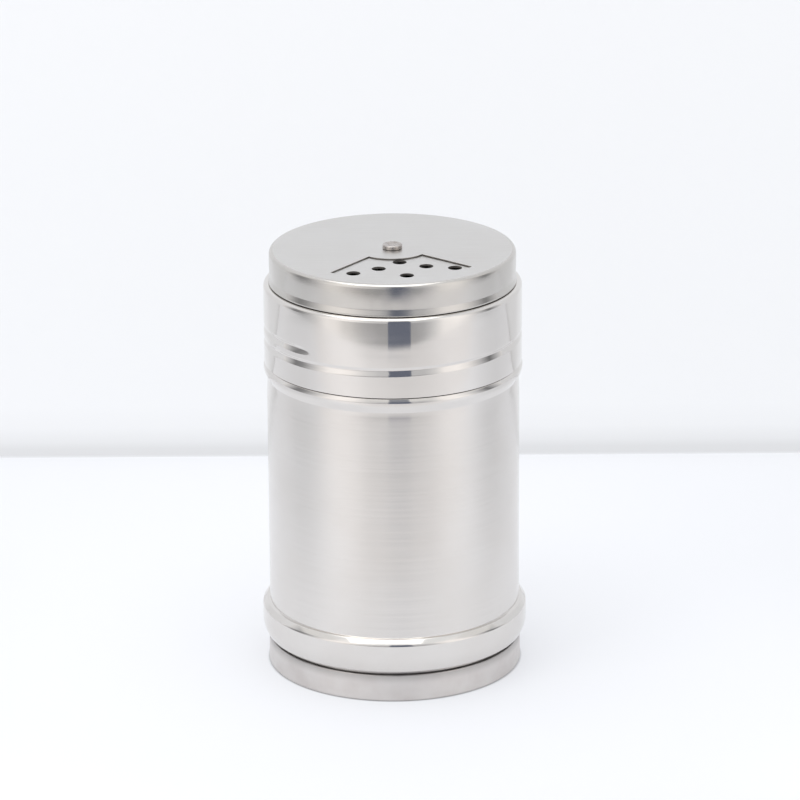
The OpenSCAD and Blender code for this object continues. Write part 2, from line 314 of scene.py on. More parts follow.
def thread_tree():
    """The tree that pushes a sheet in or out along a helix."""
    tree, shell, given = geometry_tree("Roll a thread", Depth=0.0, Pitch=0.0, Above=0.0, Below=0.0,
                                       Turns=0.0, Level=0.0, Start=0.0, Fade=0.0,
                                       Material=bpy.types.Material)
    x, y, z = parts_of(tree, wire(tree, "GeometryNodeInputPosition"))
    around = calc(tree, "SUBTRACT", calc(tree, "ARCTAN2", y, x), given["Start"])
    first = calc(tree, "DIVIDE", calc(tree, "FLOORED_MODULO", around, math.tau), math.tau)
    push = 0.0
    for passing in range(THREAD_PASSES):
        along = calc(tree, "ADD", first, float(passing))
        to_end = calc(tree, "MINIMUM", along, calc(tree, "SUBTRACT", given["Turns"], along))
        strength = wire(tree, "ShaderNodeMapRange",
                        {"Value": to_end, "From Min": 0.0, "From Max": given["Fade"]},
                        interpolation_type="SMOOTHSTEP")
        level = calc(tree, "MULTIPLY_ADD", given["Pitch"], along, given["Level"])
        off = calc(tree, "SUBTRACT", z, level)
        share = calc(tree, "MAXIMUM", calc(tree, "DIVIDE", off, given["Above"]),
                     calc(tree, "DIVIDE", calc(tree, "MULTIPLY", off, -1.0), given["Below"]))
        nearer = calc(tree, "MINIMUM", share, 0.5)
        hump = calc(tree, "MULTIPLY_ADD", calc(tree, "COSINE", calc(tree, "MULTIPLY", nearer, math.tau)),
                    0.5, 0.5)
        push = calc(tree, "MULTIPLY_ADD", strength, hump, push)
    outward = wire(tree, "ShaderNodeVectorMath",
                   {0: wire(tree, "ShaderNodeCombineXYZ", {"X": x, "Y": y})}, operation="NORMALIZE")
    offset = wire(tree, "ShaderNodeVectorMath",
                  {0: outward, "Scale": calc(tree, "MULTIPLY", push, given["Depth"])}, operation="SCALE")
    rolled = wire(tree, "GeometryNodeSetPosition", {"Geometry": shell, "Offset": offset})
    return end_tree(tree, rolled, given["Material"])


ROLL = thread_tree()
print("tree:", ROLL.name, "with", len(ROLL.nodes), "nodes")

# %% [markdown]
# ## Punching holes
# Holes in sheet are punched, and a punch pattern is a rule: so many rows, one hole more in each row, on a
# fan that widens outwards. The tree turns a hole's number into its row and its place in the row, puts a
# punch there, and takes all the punches out of the sheet at once. The punches bring their own material,
# so each wall that they leave shows cut steel, dark partly as a rough cut edge and partly as painted shade.
# Modelling every hole by hand would hide the pattern.

# %% Geometry Nodes: rows of round holes
PUNCH_SIDES = 40
PUNCH_LENGTH = 4.0     # how long a punch is, in thicknesses of the sheet
WHOLE = 1e-4           # added to a row's number, so that a whole one isn't rounded down


def take_out(tree, sheet, punches, cut):
    """Takes punches out of a sheet and ends the tree. The new walls keep the punches' material."""
    marked = wire(tree, "GeometryNodeSetMaterial", {"Geometry": punches, "Material": cut})
    punched = wire(tree, "GeometryNodeMeshBoolean", {"Mesh 1": sheet, "Mesh 2": marked},
                   operation="DIFFERENCE", solver="EXACT")
    return end_tree(tree, punched, cut, wire(tree, "GeometryNodeMaterialSelection", {"Material": cut}))


def polar(tree, radius, angle, height):
    """A point at a radius and an angle from the front, which is -Y."""
    return wire(tree, "ShaderNodeCombineXYZ",
                {"X": calc(tree, "MULTIPLY", radius, calc(tree, "SINE", angle)),
                 "Y": calc(tree, "MULTIPLY", calc(tree, "MULTIPLY", radius, -1.0),
                           calc(tree, "COSINE", angle)),
                 "Z": height})


def rows_tree():
    """The tree that punches rows of round holes, each row one hole longer than the last."""
    inputs = {"First row": 1, "Rows": 3, "Inner radius": 0.0, "Outer radius": 0.0, "Inner spread": 0.0,
              "Outer spread": 0.0, "Heading": 0.0, "Diameter": 0.0, "Level": 0.0, "Sheet": 0.0,
              "Cut": bpy.types.Material}
    tree, sheet, given = geometry_tree("Punch rows of holes", **inputs)
    first, rows = given["First row"], given["Rows"]
    total = calc(tree, "MULTIPLY", rows, calc(tree, "ADD", first, calc(
        tree, "DIVIDE", calc(tree, "SUBTRACT", rows, 1.0), 2.0)))
    number = wire(tree, "GeometryNodeInputIndex")
    odd = calc(tree, "MULTIPLY_ADD", first, 2.0, -1.0)
    root = calc(tree, "SQRT", calc(tree, "MULTIPLY_ADD", number, 8.0, calc(tree, "MULTIPLY", odd, odd)))
    row = calc(tree, "FLOOR", calc(tree, "MULTIPLY_ADD", calc(tree, "SUBTRACT", root, odd), 0.5, WHOLE))
    before = calc(tree, "MULTIPLY", row, calc(tree, "ADD", first, calc(
        tree, "DIVIDE", calc(tree, "SUBTRACT", row, 1.0), 2.0)))
    place = calc(tree, "SUBTRACT", number, before)
    more = calc(tree, "SUBTRACT", calc(tree, "ADD", first, row), 1.0)
    share = calc(tree, "DIVIDE", row, calc(tree, "SUBTRACT", rows, 1.0))
    radius = between(tree, share, given["Inner radius"], given["Outer radius"])
    spread = between(tree, share, given["Inner spread"], given["Outer spread"])
    side = calc(tree, "DIVIDE", calc(tree, "MULTIPLY_ADD", place, 2.0, calc(tree, "MULTIPLY", more, -1.0)),
                calc(tree, "MAXIMUM", more, 1.0))
    angle = calc(tree, "MULTIPLY_ADD", side, spread, given["Heading"])
    points = wire(tree, "GeometryNodePoints",
                  {"Count": total, "Position": polar(tree, radius, angle, given["Level"])})
    punch = wire(tree, "GeometryNodeMeshCylinder",
                 {"Vertices": PUNCH_SIDES, "Radius": calc(tree, "DIVIDE", given["Diameter"], 2.0),
                  "Depth": calc(tree, "MULTIPLY", given["Sheet"], PUNCH_LENGTH)})
    punches = wire(tree, "GeometryNodeInstanceOnPoints", {"Points": points, "Instance": punch})
    real = wire(tree, "GeometryNodeRealizeInstances", {0: punches})
    return take_out(tree, sheet, real, given["Cut"])


PUNCH_ROWS = rows_tree()
print("tree:", PUNCH_ROWS.name, "with", len(PUNCH_ROWS.nodes), "nodes")

# %% [markdown]
# The cap's window and the plate's pouring slot are fans: two arcs joined by straight sides. Each side lies
# a little outside a line through the centre, so the angle of a side grows towards the inner arc. The punch
# is a grid bent into that shape and thickened, which keeps the arcs and the sides exact.

# %% Geometry Nodes: a fan-shaped hole
FAN_STEPS = 60


def fan_tree():
    """The tree that punches one fan-shaped hole."""
    inputs = {"Inner radius": 0.0, "Outer radius": 0.0, "Half angle": 0.0, "Side offset": 0.0,
              "Heading": 0.0, "Level": 0.0, "Sheet": 0.0, "Cut": bpy.types.Material}
    tree, sheet, given = geometry_tree("Punch a fan", **inputs)
    grid = wire(tree, "GeometryNodeMeshGrid", {"Size X": 2.0, "Size Y": 1.0, "Vertices X": FAN_STEPS + 1,
                                               "Vertices Y": FAN_STEPS // 4 + 1})
    across, up, _ = parts_of(tree, wire(tree, "GeometryNodeInputPosition"))
    radius = between(tree, calc(tree, "ADD", up, 0.5), given["Inner radius"], given["Outer radius"])
    half = calc(tree, "ADD", given["Half angle"],
                calc(tree, "ARCSINE", calc(tree, "DIVIDE", given["Side offset"], radius)))
    angle = calc(tree, "MULTIPLY_ADD", across, half, given["Heading"])
    low = calc(tree, "MULTIPLY_ADD", given["Sheet"], -PUNCH_LENGTH / 2, given["Level"])
    bent = wire(tree, "GeometryNodeSetPosition",
                {"Geometry": grid, "Position": polar(tree, radius, angle, low)})
    upwards = wire(tree, "ShaderNodeCombineXYZ",
                   {"Z": calc(tree, "MULTIPLY", given["Sheet"], PUNCH_LENGTH)})
    facing_up = wire(tree, "GeometryNodeFlipFaces", {"Mesh": bent})
    thick = wire(tree, "GeometryNodeExtrudeMesh",
                 {"Mesh": facing_up, "Offset": upwards, "Individual": False})
    both = tree.nodes.new("GeometryNodeJoinGeometry")
    for part in (thick, bent):
        tree.links.new(part, both.inputs[0])
    punch = wire(tree, "GeometryNodeMergeByDistance", {"Geometry": both.outputs[0], "Distance": WELD})
    return take_out(tree, sheet, punch, given["Cut"])


PUNCH_FAN = fan_tree()
print("tree:", PUNCH_FAN.name, "with", len(PUNCH_FAN.nodes), "nodes")

# %% [markdown]
# ## Steel finishes
# All the metal is the same stainless steel, and what differs is how it was finished: buffed to a mirror,
# brushed while it spun, brushed flat, or left dull from the press. A finish is mostly roughness. Brushing
# leaves fine scratches that scatter light across them and hardly at all along them, so the finishes whose
# scratches run round the axis, or up and down, are anisotropic. The flat tops get their straight grain
# from bump alone. An image of scratches would do for one view; noise stretched on Object coordinates keeps
# its grain from every side and needs no file.

# %% Helpers for materials
def new_material(name):
    """A new material, its tree and its shader."""
    material = bpy.data.materials.new(name)
    material.use_nodes = True
    return material, material.node_tree, material.node_tree.nodes["Principled BSDF"]


def place_in(tree):
    """X, Y and Z of a point on its object."""
    return parts_of(tree, wire(tree, "ShaderNodeTexCoord", out="Object"))


def smooth_step(tree, value, start, end):
    """0 below the start and 1 above the end, with a smooth step between."""
    return wire(tree, "ShaderNodeMapRange", {"Value": value, "From Min": start, "From Max": end},
                interpolation_type="SMOOTHSTEP")


def mix_colours(tree, share, first, second, blend="MIX"):
    """Two colours, mixed by a share or blended in another way."""
    return wire(tree, "ShaderNodeMix", {0: share, 6: first, 7: second}, out=2, data_type="RGBA",
                blend_type=blend)


def multiply(tree, first, second):
    """One colour darkened by another."""
    return mix_colours(tree, 1.0, first, second, "MULTIPLY")


# %% Grain, stains and roughness
def marks(tree, fineness, detail=3.0):
    """Noise on Object coordinates. fineness is how many marks there are in a metre along x, y and z."""
    place = wire(tree, "ShaderNodeTexCoord", out="Object")
    scaled = wire(tree, "ShaderNodeMapping", {"Vector": place, "Scale": fineness})
    return wire(tree, "ShaderNodeTexNoise", {"Vector": scaled, "Scale": 1.0, "Detail": detail})


def spread(tree, value, low, high, from_low=0.3, from_high=0.7):
    """Stretches the middle of a noise over a range."""
    return wire(tree, "ShaderNodeMapRange",
                {"Value": value, "From Min": from_low, "From Max": from_high, "To Min": low, "To Max": high})


def rise(tree, start, end):
    """0 below a level and 1 above another, in millimetres, with a smooth step between."""
    return smooth_step(tree, place_in(tree)[2], start * MM, end * MM)


LINES_WEIGHT = 0.5     # how much the scratches count in the roughness, next to the clouds


def steel(name, tone, stain, rough, grain, depth=0.0, scatter=0.0, turn=0.25, cloud=(70, 70, 70),
          polish=None, where=None, paint_shade=None):
    """A steel finish: two tones of metal, a range of roughness, and scratches of a depth in millimetres.
    scatter is how much the scratches stretch reflections across themselves. They run round the axis, or
    up and down with a turn of 0.
    where(tree) gives a share from 0, polished to the roughness in polish, to 1, finished as the rest.
    The last function, when given, paints shade: it gives the share of its brightness that the metal keeps."""
    material, tree, shader = new_material(name)
    lines = marks(tree, grain, detail=1.5)
    clouds = marks(tree, cloud, detail=4.0)
    colour = mix_colours(tree, spread(tree, clouds, 0.0, 1.0), (*stain, 1), (*tone, 1))
    # painted shade: the colour is darkened by the share that the given function gives
    if paint_shade:
        colour = multiply(tree, colour, paint_shade(tree))
    shade = calc(tree, "MULTIPLY_ADD", spread(tree, lines, -1.0, 1.0), LINES_WEIGHT, clouds)
    roughness = spread(tree, shade, *rough, from_low=0.0, from_high=1.0)
    if where:
        roughness = between(tree, where(tree), polish, roughness)
    tree.links.new(colour, shader.inputs["Base Color"])
    tree.links.new(roughness, shader.inputs["Roughness"])
    if depth:
        tree.links.new(wire(tree, "ShaderNodeBump", {"Height": lines, "Distance": depth * MM}),
                       shader.inputs["Normal"])
    shader.inputs["Metallic"].default_value = 1.0
    if scatter:
        shader.inputs["Anisotropic"].default_value = scatter
        shader.inputs["Anisotropic Rotation"].default_value = turn
        tree.links.new(wire(tree, "ShaderNodeTangent", direction_type="RADIAL", axis="Z"),
                       shader.inputs["Tangent"])
    print("finish:", name)
    return material


# %% The finishes
STEEL = (0.73, 0.707, 0.683)
STEEL_STAIN = (0.70, 0.673, 0.645)
ROUND_LINES = (6, 6, 1500)
BRUSHED_FROM = (BODY_LOW - 0.05, BODY_LOW + 0.3)   # the levels where the ring's polish gives way
BRUSHED_TO = (BEAD_LOW - 4.5, BEAD_LOW - 0.3)      # and where the bead's polish takes over
# Painted shade on the foot, darker towards the ring that overhangs it:
PAINTED_SHADE_DEPTH = 2.4      # how far down the foot the steel is darker
PAINTED_SHADE_LOSS = 0.30      # how much darker it is at the ring


def brushed_part(tree):
    """1 on the brushed body, and 0 on the ring below it and the bead above it, which were buffed."""
    return calc(tree, "MULTIPLY", rise(tree, *BRUSHED_FROM),
                calc(tree, "SUBTRACT", 1.0, rise(tree, *BRUSHED_TO)))


def painted_shade_under_ring(tree):
    """Painted shade: darker towards the top of the foot, under the ring that overhangs it."""
    return calc(tree, "MULTIPLY_ADD", rise(tree, FOOT_HEIGHT - PAINTED_SHADE_DEPTH, FOOT_HEIGHT), -PAINTED_SHADE_LOSS, 1.0)


brushed_steel = steel(
    "brushed_steel", STEEL, STEEL_STAIN, rough=(0.18, 0.24), grain=ROUND_LINES, scatter=0.75,
    polish=0.10, where=brushed_part)
polished_steel = steel(
    "polished_steel", STEEL, STEEL_STAIN, rough=(0.05, 0.10), grain=(60, 60, 420), depth=0.003,
    scatter=0.5)
skirt_steel = steel(
    "skirt_steel", (0.61, 0.59, 0.565), (0.57, 0.55, 0.52), rough=(0.15, 0.20), grain=(500, 500, 6),
    scatter=0.5, turn=0.0)
satin_steel = steel(
    "satin_steel", (0.655, 0.645, 0.63), (0.625, 0.61, 0.59), rough=(0.28, 0.38), grain=(90, 2600, 90),
    depth=0.004)
# The foot's finish carries painted shade under the ring.
dull_steel = steel(
    "dull_steel", (0.70, 0.675, 0.655), (0.63, 0.595, 0.575), rough=(0.34, 0.44), grain=(260, 260, 900),
    depth=0.003, scatter=0.4, cloud=(170, 170, 170), paint_shade=painted_shade_under_ring)
rivet_steel = steel(
    "rivet_steel", (0.56, 0.53, 0.51), (0.36, 0.32, 0.29), rough=(0.16, 0.34), grain=(900, 900, 900),
    depth=0.03, cloud=(700, 700, 700))
# Cut edges: darker partly as rough cut steel and partly as painted shade in the walls of holes and window.
cut_steel_painted_shade = steel(
    "cut_steel_painted_shade", (0.42, 0.40, 0.38), (0.24, 0.22, 0.20), rough=(0.4, 0.6), grain=(300, 300, 5000),
    depth=0.01)

# %% Silicone for the seal
SILICONE = (0.78, 0.78, 0.75, 1)
SILICONE_CLOUD = (0.70, 0.69, 0.65, 1)
SILICONE_GRAIN = 0.01  # how deep its dull skin is


def silicone():
    """Milky silicone rubber with a dull skin."""
    material, tree, shader = new_material("clear_silicone")
    clouds = marks(tree, (160, 160, 160), detail=5.0)
    colour = mix_colours(tree, spread(tree, clouds, 0.0, 1.0), SILICONE_CLOUD, SILICONE)
    grain = wire(tree, "ShaderNodeBump",
                 {"Height": marks(tree, (2500, 2500, 2500)), "Distance": SILICONE_GRAIN * MM})
    tree.links.new(colour, shader.inputs["Base Color"])
    tree.links.new(spread(tree, clouds, 0.42, 0.58), shader.inputs["Roughness"])
    tree.links.new(grain, shader.inputs["Normal"])
    return material


seal_silicone = silicone()
print("finish:", seal_silicone.name)

# %% [markdown]
# ## From a section to a finished piece
# Each piece starts as the loose points of its section, and a stack of Geometry Nodes modifiers spins,
# rolls and punches it. A modifier's inputs are set by identifier, because two inputs may share a name.
# When the stack is evaluated the result becomes a plain mesh, because the frame wants real geometry.
# Smooth shading needs sharp edges at real corners only, so edges are marked by their angle.

# %% Evaluate, clean and hand over
SHARP = math.radians(32)


def add_object(name, data):
    """A new object in the scene."""
    made = bpy.data.objects.new(name, data)
    bpy.context.scene.collection.objects.link(made)
    return made


def add_step(piece, tree, values):
    """Adds a Geometry Nodes modifier and sets its named inputs."""
    modifier = piece.modifiers.new(tree.name, "NODES")
    modifier.node_group = tree
    for socket in tree.interface.items_tree:
        if socket.in_out == "INPUT" and socket.name in values:
            modifier[socket.identifier] = values[socket.name]


def drop_empty_slots(mesh):
    """A mesh made from loose points starts with a slot that has no material; it is taken out."""
    numbers = [0] * len(mesh.polygons)
    mesh.polygons.foreach_get("material_index", numbers)
    used = list(mesh.materials)
    kept = [m for m in used if m]
    mesh.materials.clear()
    for m in kept:
        mesh.materials.append(m)
    mesh.polygons.foreach_set("material_index", [kept.index(used[n]) for n in numbers])


def spun_piece(name, section, material, *steps):
    """A piece spun from a closed section, with more steps after it, as a plain mesh."""
    line = bpy.data.meshes.new(name + "_section")
    line.from_pydata([(p.x * MM, 0, p.y * MM) for p in section], [], [])
    piece = add_object(name, line)
    add_step(piece, SPIN, {"Material": material})
    for tree, values in steps:
        add_step(piece, tree, values)
    graph = bpy.context.evaluated_depsgraph_get()
    mesh = bpy.data.meshes.new_from_object(piece.evaluated_get(graph))
    piece.modifiers.clear()
    piece.data = mesh
    mesh.name = name
    drop_empty_slots(mesh)
    mesh.shade_smooth()
    mesh.set_sharp_from_angle(angle=SHARP)
    return piece


def hand_over(piece, node, body):
    """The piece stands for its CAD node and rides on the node's body."""
    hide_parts(node)
    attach(piece, body)
    print(f"{piece.name}: {len(piece.data.polygons)} faces, stands for {node}, rides on {body}")


# %% [markdown]
# ## The brushed can
# The can is drawn from one sheet. Its mouth is rolled over, its thread is rolled in, a bead runs just under
# the lid, and its lower end is belled out into the polished ring. The ring and bead were buffed, and the
# body was brushed on a lathe, so one material carries both and changes over with height.

# %% Build the can
BEAD_R = BODY_R + BEAD_PROUD
DRAWN_IN = 0.12        # how much narrower the body is where it meets the bead
EDGE = 0.1             # how far the trimmed edges of the sheets are eased
LIP_IN = 0.87          # how far the ring's lower edge is curled in
can_corners = [
    (RIM_IN_R, MOUTH_TOP - 1.3, 0),                 # the rolled rim's trimmed edge
    (RIM_IN_R, MOUTH_TOP, RIM_WIDTH / 2),           # over the rim
    (MOUTH_R, MOUTH_TOP, RIM_WIDTH / 2),
    (MOUTH_R, BEAD_TOP, 0.15),                      # down the mouth to the bead's top
    (BEAD_R - 0.45, BEAD_TOP, 0.3),
    (BEAD_R, BEAD_TOP - 0.8, 1.0),                  # the bead's widest part
    (BEAD_R, BEAD_LOW + BEAD_HEIGHT / 2, 3.5),
    (BODY_R - DRAWN_IN, BEAD_LOW, 0.2),             # in under the bead, and out to the body
    (BODY_R, BEAD_LOW - 2.6, 60),
    (BODY_R, BODY_LOW - 0.22, 0.1),                 # down the body to the ring
    (BODY_R + 0.66, BODY_LOW - 0.41, 0.3),          # the ring's shoulder, in two slopes
    (BODY_R + 1.58, BODY_LOW - 1.43, 0.8),
    (RING_R, BODY_LOW - 1.78, 0.35),
    (RING_R, RING_LOW + 1.84, 6.5),                 # down the ring, whose lip curls in
    (RING_R - LIP_IN, RING_LOW + 0.33, 0)]

THREAD_PITCH = 3.0
THREAD_DEPTH = 0.4
THREAD_FLANK = 1.0     # half the width of the thread on the mouth
GROOVE_ABOVE = 0.8     # the groove in the lid, above its deepest line and below it
GROOVE_BELOW = 1.35
GROOVE_DEPTH = 0.34
THREAD_REACH = 2.0     # how far above and below a thread the sheet gets its extra rows
THREAD_ROW = 0.16      # and how far apart those rows are
THREAD_FADE = 13 / 360     # the share of a turn over which an end dies out
LID_THREAD_LEVEL = COLLAR_LOW + 5.1    # the level at which the lid's thread starts
GROOVE_LIFT = 0.45     # how far the groove's deepest line lies above the thread's own level
LID_TURNS = 1.2
NECK_TURNS = 2.0
THREAD_START = math.radians(-109 - 90)     # it starts 109 degrees to the left of the front, which is -Y


def thread(depth, level, turns, above, below, material):
    """A rolled thread, as a step of a piece's stack. A negative depth goes inwards."""
    return ROLL, {"Depth": depth * MM, "Pitch": THREAD_PITCH * MM, "Above": 2 * above * MM,
                  "Below": 2 * below * MM, "Turns": turns, "Level": level * MM, "Start": THREAD_START,
                  "Fade": THREAD_FADE, "Material": material}


def thread_rows(section, level, turns):
    """A section with the extra rows that a thread needs."""
    low = level - THREAD_REACH
    return with_rows(section, low, level + turns * THREAD_PITCH + THREAD_REACH, THREAD_ROW)


neck_level = LID_THREAD_LEVEL + THREAD_PITCH / 2
can_section = thread_rows(sheet_section(can_corners, SHEET, EDGE), neck_level, NECK_TURNS)
can = spun_piece("brushed_can", can_section, brushed_steel,
                 thread(THREAD_DEPTH, neck_level, NECK_TURNS, THREAD_FLANK, THREAD_FLANK, brushed_steel))
hand_over(can, "can_shell", "can")

# %% [markdown]
# ## The base cup
# A second, shallower pressing closes the can from below. It was left dull from the press, a little warmer
# and darker than the brushed steel, and only its foot shows under the ring. The steel right under the ring
# is darker with painted shade, where the ring overhangs it.

# %% Build the base cup
CUP_EDGE = 0.35        # the rounding of the cup's bends
FOOT_IN = 0.15         # how much narrower the foot is than its CAD solid
FOOT_TAPER = 0.1       # how much it narrows towards its top
STAND_WIDTH = 5        # the flat ring that the shaker stands on
BASE_RISE = 0.8        # how high the middle of the base is pressed up
PLUG_PLAY = 0.05       # between the cup's plug and the can
FOOT_R = CUP_R - FOOT_IN
STAND_R = FOOT_R - 2 * CUP_EDGE - STAND_WIDTH
plug_r = BODY_R - SHEET - PLUG_PLAY
cup_corners = [
    (plug_r, PLUG_TOP, 0), (plug_r, FOOT_HEIGHT, CUP_EDGE),
    (FOOT_R - FOOT_TAPER, FOOT_HEIGHT, CUP_EDGE), (FOOT_R, TABLE, CUP_EDGE),
    (STAND_R, TABLE, CUP_EDGE), (STAND_R - BASE_RISE, BASE_RISE, CUP_EDGE), (0, BASE_RISE, 0)]
cup = spun_piece("base_foot", sheet_section(cup_corners, SHEET), dull_steel)
hand_over(cup, "base_cup", "can")

# %% [markdown]
# ## The screw lid
# The lid is a mirror-polished collar with the sieve plate on top, again one sheet. Its thread is rolled
# inwards, so a groove runs round the collar. Three of the plate's quarters are open: six large holes,
# four rows of small ones and a pouring slot. The fourth is plain, and closes the shaker.

# %% Which faces are satin
def level_tree():
    """Gives the flat faces above a level their own finish."""
    tree, shell, given = geometry_tree("Finish the top", Level=0.0, Material=bpy.types.Material)
    height = parts_of(tree, wire(tree, "GeometryNodeInputPosition"))[2]
    above = wire(tree, "FunctionNodeCompare", {0: height, 1: given["Level"]}, data_type="FLOAT",
                 operation="GREATER_THAN")
    return end_tree(tree, shell, given["Material"], above)


FINISH_TOP = level_tree()
TOP_SKIN = 0.02        # faces this near the highest level are the flat top


def satin_above(top):
    """The satin finish of a flat top, as a step of a piece's stack."""
    return FINISH_TOP, {"Level": (top - TOP_SKIN) * MM, "Material": satin_steel}


# %% Build the screw lid
WINDOW_IN_R = 8.3
WINDOW_OUT_R = CAP_R - 5.1
HOLE_IN_R = WINDOW_IN_R + 1.8
HOLE_OUT_R = WINDOW_OUT_R - 2.9
HOLE_D = 3.2
FINE_HOLE_D = 1.6
SIEVE_HEADING = math.radians(9.2)
QUARTER = math.pi / 2
SIDE_OFFSET = 0.65     # how far a fan's sides lie outside lines through the centre
SLOT_ANGLE = 56
DOME_IN = 0.8          # how much smaller the raised plate is than the cap
SIEVE_LIFT = 0.1       # how much nearer to the cap the plate is than in its CAD solid
DOME_R = CAP_R - DOME_IN
SIEVE_TOP = PLATE_TOP + SIEVE_LIFT


def rows_of_holes(first, rows, inner_spread, outer_spread, diameter, heading):
    """Rows of holes, as a step. A spread is half the angle, in degrees, that a row takes up."""
    return PUNCH_ROWS, {"First row": first, "Rows": rows, "Inner radius": HOLE_IN_R * MM,
                        "Outer radius": HOLE_OUT_R * MM, "Inner spread": math.radians(inner_spread),
                        "Outer spread": math.radians(outer_spread), "Heading": heading,
                        "Diameter": diameter * MM, "Level": SIEVE_TOP * MM, "Sheet": SHEET * MM,
                        "Cut": cut_steel_painted_shade}


def fan(inner, outer, angle, heading, level, sheet):
    """A fan-shaped hole, as a step. angle is the whole fan's, in degrees."""
    return PUNCH_FAN, {"Inner radius": inner * MM, "Outer radius": outer * MM,
                       "Half angle": math.radians(angle / 2), "Side offset": SIDE_OFFSET * MM,
                       "Heading": heading, "Level": level * MM, "Sheet": sheet * MM, "Cut": cut_steel_painted_shade}


lid_corners = [(PIVOT_R, SIEVE_TOP, 0), (DOME_R, SIEVE_TOP, 1), (DOME_R, SHOULDER, SHEET),
               (COLLAR_R, SHOULDER, 1), (COLLAR_R, COLLAR_LOW, 0)]
lid_section = thread_rows(sheet_section(lid_corners, SHEET, EDGE), LID_THREAD_LEVEL, LID_TURNS)
lid = spun_piece(
    "polished_lid", lid_section, polished_steel,
    thread(-GROOVE_DEPTH, LID_THREAD_LEVEL + GROOVE_LIFT, LID_TURNS, GROOVE_ABOVE, GROOVE_BELOW,
           polished_steel),
    satin_above(SIEVE_TOP),
    rows_of_holes(first=1, rows=3, inner_spread=7, outer_spread=35, diameter=HOLE_D,
                  heading=SIEVE_HEADING),
    rows_of_holes(first=3, rows=4, inner_spread=28, outer_spread=35, diameter=FINE_HOLE_D,
                  heading=SIEVE_HEADING + QUARTER),
    fan(HOLE_IN_R - HOLE_D / 2, HOLE_OUT_R + HOLE_D / 2, SLOT_ANGLE, SIEVE_HEADING + 2 * QUARTER,
        SIEVE_TOP, SHEET))
hand_over(lid, "screw_lid", "lid")

# %% [markdown]
# ## The rotary cap
# The cap is a shallow cup of thinner sheet with one fan-shaped window. Its flat top was brushed before it
# was pressed, and its skirt keeps faint upright marks from the pressing. Such a skirt draws in slightly
# under the top, and its trimmed lower edge springs outwards again, which bends the last reflections in it.

# %% Build the rotary cap
CAP_HEADING = math.radians(6.9)
WAIST = 0.10           # how far the skirt draws in
SPRING = 0.2           # how far its lower edge springs out
WINDOW_ANGLE = 85
cap_corners = [
    (PIVOT_R, CAP_TOP, 0),
    (CAP_R, CAP_TOP, 1),                            # out to the top's edge
    (CAP_R, CAP_LOW + 3.5, 60),                     # down the skirt to its waist
    (CAP_R - WAIST, CAP_LOW + 1.4, 1.0),
    (CAP_R + SPRING, CAP_LOW + 0.35, 0.4),          # and out again to the lower edge
    (CAP_R + SPRING, CAP_LOW - 0.06, 0)]
cap = spun_piece(
    "rotary_top", sheet_section(cap_corners, CAP_SHEET, EDGE), skirt_steel,
    satin_above(CAP_TOP),
    fan(WINDOW_IN_R, WINDOW_OUT_R, WINDOW_ANGLE, CAP_HEADING, CAP_TOP, CAP_SHEET))
hand_over(cap, "rotary_cap", "cap")

# %% [markdown]
# ## The rivet, the seal and the washers
# The rivet is turned and then peened over, which leaves a low rim round a dimple. The seal is a plain ring
# of silicone with soft edges. The two washers are hidden under the plate and their CAD shapes are right,
# so they stay as they are and only get a finish.

# %% Build the rivet
HEAD_HEIGHT = 0.9
SHANK_R = 1.3
TAIL_R = 2.0
TAIL_HEIGHT = 0.8
DIMPLE = HEAD_HEIGHT / 4
head_low = HEAD_TOP - HEAD_HEIGHT
tail_top = TAIL_LOW + TAIL_HEIGHT
rivet = spun_piece("pivot_rivet", line_through([
    (0, HEAD_TOP - DIMPLE, 0), (HEAD_R / 3, HEAD_TOP - DIMPLE, DIMPLE),
    (2 * HEAD_R / 3, HEAD_TOP, DIMPLE), (HEAD_R, HEAD_TOP, HEAD_HEIGHT / 3), (HEAD_R, head_low, 0),
    (SHANK_R, head_low, 0), (SHANK_R, tail_top, 0), (TAIL_R, tail_top, 0),
    (TAIL_R, TAIL_LOW, TAIL_HEIGHT / 2), (0, TAIL_LOW, 0)]), rivet_steel)
hand_over(rivet, "rivet", "lid")

# %% Build the seal, and finish the washers
SEAL_EDGE = 0.2
seal = spun_piece("mouth_seal", line_through([
    (RIM_IN_R, SEAL_TOP, SEAL_EDGE), (MOUTH_R, SEAL_TOP, SEAL_EDGE), (MOUTH_R, SEAL_LOW, SEAL_EDGE),
    (RIM_IN_R, SEAL_LOW, SEAL_EDGE)]), seal_silicone)
hand_over(seal, "lid_seal", "seal")

for washer in ("spring_washer", "flat_washer"):
    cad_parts[washer].data.materials.clear()
    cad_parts[washer].data.materials.append(dull_steel)
    print(washer, "keeps its CAD mesh")

# %% [markdown]
# ## The table, the wall and what the steel mirrors
# Polished steel has no colour of its own; it shows the room. A product photographer puts white boards
# round a piece to fill it with light, and leaves gaps so that dark lines draw its edges. The floor and the
# wall here are pale, with painted light and painted shade. The boards and gaps are on a screen that only
# reflections see, so it shapes the steel without throwing shadows or coming into the picture.

# %% Floor and wall
def pale(name, colour, glow, shade):
    """A pale board whose glow is painted light: glow is the share of its colour that it gives off by itself,
    which keeps shadows soft. shade(tree) paints shade and light onto parts of it."""
    material, tree, shader = new_material(name)
    shading = shade(tree)
    for socket, share in (("Base Color", 1 - glow), ("Emission Color", 1.0)):
        own = (*(c * share for c in colour), 1)
        tree.links.new(multiply(tree, own, shading), shader.inputs[socket])
    shader.inputs["Emission Strength"].default_value = glow
    shader.inputs["Roughness"].default_value = 0.7
    shader.inputs["Specular IOR Level"].default_value = 0.2
    return material


def direction_of(tree, x, y):
    """The direction round the shaker as a share of a turn: 0.5 is the front, and more is to the right."""
    return calc(tree, "MULTIPLY_ADD", calc(tree, "ARCTAN2", x, calc(tree, "MULTIPLY", y, -1.0)),
                1 / math.tau, 0.5)


